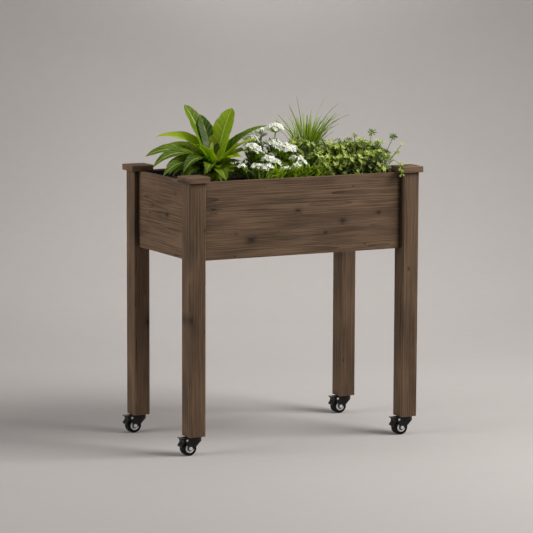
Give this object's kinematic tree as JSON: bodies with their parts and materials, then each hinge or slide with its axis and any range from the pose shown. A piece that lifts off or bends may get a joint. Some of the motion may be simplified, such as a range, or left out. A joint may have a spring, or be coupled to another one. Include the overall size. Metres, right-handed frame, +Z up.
{
  "type": "rolling planter",
  "caption": "Raised wooden planter on square legs with square caps, tongue-and-groove walls, a lined and planted bed, and braked swivel casters under the legs.",
  "frame": {"origin": "on the floor, at the middle of the outline seen from above: midway between the left casters' pedal tips and the right caps' outer edges, and midway between the front and back caps", "axes": "+X runs along the bed from the end the casters trail toward to the other end, +Y from the front wall to the back wall, +Z up from the floor"},
  "size_m": [0.7058, 0.4124, 0.9004],
  "materials": {
    "stained_wood_post": "matte",
    "stained_wood_cap": "matte",
    "stained_wood_plank": "matte",
    "stained_wood_floor": "matte",
    "zinc_screw": "satin",
    "zinc_insert": "satin",
    "black_liner": "matte",
    "potting_mix": "matte",
    "broad_leaf": "satin",
    "flowers_and_foliage": "matte",
    "grass_blade": "satin",
    "shrub_foliage": "matte",
    "sprig_leaf": "satin",
    "black_steel_stem": "satin",
    "black_steel_fork": "satin",
    "black_tyre": "matte",
    "pale_hub": "satin",
    "bright_axle": "polished",
    "black_pedal": "satin",
    "bright_rivet": "satin"
  },
  "bodies": {
    "planter": {"post_front_left": "stained_wood_post", "post_front_right": "stained_wood_post", "post_back_left": "stained_wood_post", "post_back_right": "stained_wood_post", "cap_front_left": "stained_wood_cap", "cap_front_right": "stained_wood_cap", "cap_back_left": "stained_wood_cap", "cap_back_right": "stained_wood_cap", "plank_front_low": "stained_wood_plank", "plank_front_mid": "stained_wood_plank", "plank_front_top": "stained_wood_plank", "plank_back_low": "stained_wood_plank", "plank_back_mid": "stained_wood_plank", "plank_back_top": "stained_wood_plank", "plank_left_low": "stained_wood_plank", "plank_left_mid": "stained_wood_plank", "plank_left_top": "stained_wood_plank", "plank_right_low": "stained_wood_plank", "plank_right_mid": "stained_wood_plank", "plank_right_top": "stained_wood_plank", "rail_front": "stained_wood_floor", "rail_back": "stained_wood_floor", "floor_slats": "stained_wood_floor", "floor_screws": "zinc_screw", "stem_inserts": "zinc_insert", "liner": "black_liner", "soil": "potting_mix", "broadleaf_plant": "broad_leaf", "flowering_plant": "flowers_and_foliage", "grass_tuft": "grass_blade", "leafy_shrub": "shrub_foliage", "trailing_sprig": "sprig_leaf", "stem_front_left": "black_steel_stem", "stem_front_right": "black_steel_stem", "stem_back_left": "black_steel_stem", "stem_back_right": "black_steel_stem"},
    "swivel_front_left": {"fork_front_left": "black_steel_fork", "axle_front_left": "bright_axle", "rivet_front_left": "bright_rivet"},
    "wheel_front_left": {"tyre_front_left": "black_tyre", "hub_front_left": "pale_hub"},
    "brake_front_left": {"pedal_front_left": "black_pedal"},
    "swivel_front_right": {"fork_front_right": "black_steel_fork", "axle_front_right": "bright_axle", "rivet_front_right": "bright_rivet"},
    "wheel_front_right": {"tyre_front_right": "black_tyre", "hub_front_right": "pale_hub"},
    "brake_front_right": {"pedal_front_right": "black_pedal"},
    "swivel_back_left": {"fork_back_left": "black_steel_fork", "axle_back_left": "bright_axle", "rivet_back_left": "bright_rivet"},
    "wheel_back_left": {"tyre_back_left": "black_tyre", "hub_back_left": "pale_hub"},
    "brake_back_left": {"pedal_back_left": "black_pedal"},
    "swivel_back_right": {"fork_back_right": "black_steel_fork", "axle_back_right": "bright_axle", "rivet_back_right": "bright_rivet"},
    "wheel_back_right": {"tyre_back_right": "black_tyre", "hub_back_right": "pale_hub"},
    "brake_back_right": {"pedal_back_right": "black_pedal"}
  },
  "joints": [
    {"name": "swivel_front_left", "type": "hinge", "parent": "planter", "child": "swivel_front_left", "pos_m": [-0.31138, -0.17025, 0.048], "axis": [0, 0, 1], "continuous": true},
    {"name": "roll_front_left", "type": "hinge", "parent": "swivel_front_left", "child": "wheel_front_left", "pos_m": [-0.32788, -0.17025, 0.02], "axis": [0, 1, 0], "continuous": true},
    {"name": "brake_front_left", "type": "hinge", "parent": "swivel_front_left", "child": "brake_front_left", "pos_m": [-0.33687, -0.17025, 0.0425], "axis": [0, -1, 0], "range_deg": [0, 5]},
    {"name": "swivel_front_right", "type": "hinge", "parent": "planter", "child": "swivel_front_right", "pos_m": [0.32112, -0.17025, 0.048], "axis": [0, 0, 1], "continuous": true},
    {"name": "roll_front_right", "type": "hinge", "parent": "swivel_front_right", "child": "wheel_front_right", "pos_m": [0.30462, -0.17025, 0.02], "axis": [0, 1, 0], "continuous": true},
    {"name": "brake_front_right", "type": "hinge", "parent": "swivel_front_right", "child": "brake_front_right", "pos_m": [0.29563, -0.17025, 0.0425], "axis": [0, -1, 0], "range_deg": [0, 5]},
    {"name": "swivel_back_left", "type": "hinge", "parent": "planter", "child": "swivel_back_left", "pos_m": [-0.31138, 0.17025, 0.048], "axis": [0, 0, 1], "continuous": true},
    {"name": "roll_back_left", "type": "hinge", "parent": "swivel_back_left", "child": "wheel_back_left", "pos_m": [-0.32788, 0.17025, 0.02], "axis": [0, 1, 0], "continuous": true},
    {"name": "brake_back_left", "type": "hinge", "parent": "swivel_back_left", "child": "brake_back_left", "pos_m": [-0.33687, 0.17025, 0.0425], "axis": [0, -1, 0], "range_deg": [0, 5]},
    {"name": "swivel_back_right", "type": "hinge", "parent": "planter", "child": "swivel_back_right", "pos_m": [0.32112, 0.17025, 0.048], "axis": [0, 0, 1], "continuous": true},
    {"name": "roll_back_right", "type": "hinge", "parent": "swivel_back_right", "child": "wheel_back_right", "pos_m": [0.30462, 0.17025, 0.02], "axis": [0, 1, 0], "continuous": true},
    {"name": "brake_back_right", "type": "hinge", "parent": "swivel_back_right", "child": "brake_back_right", "pos_m": [0.29563, 0.17025, 0.0425], "axis": [0, -1, 0], "range_deg": [0, 5]}
  ]
}
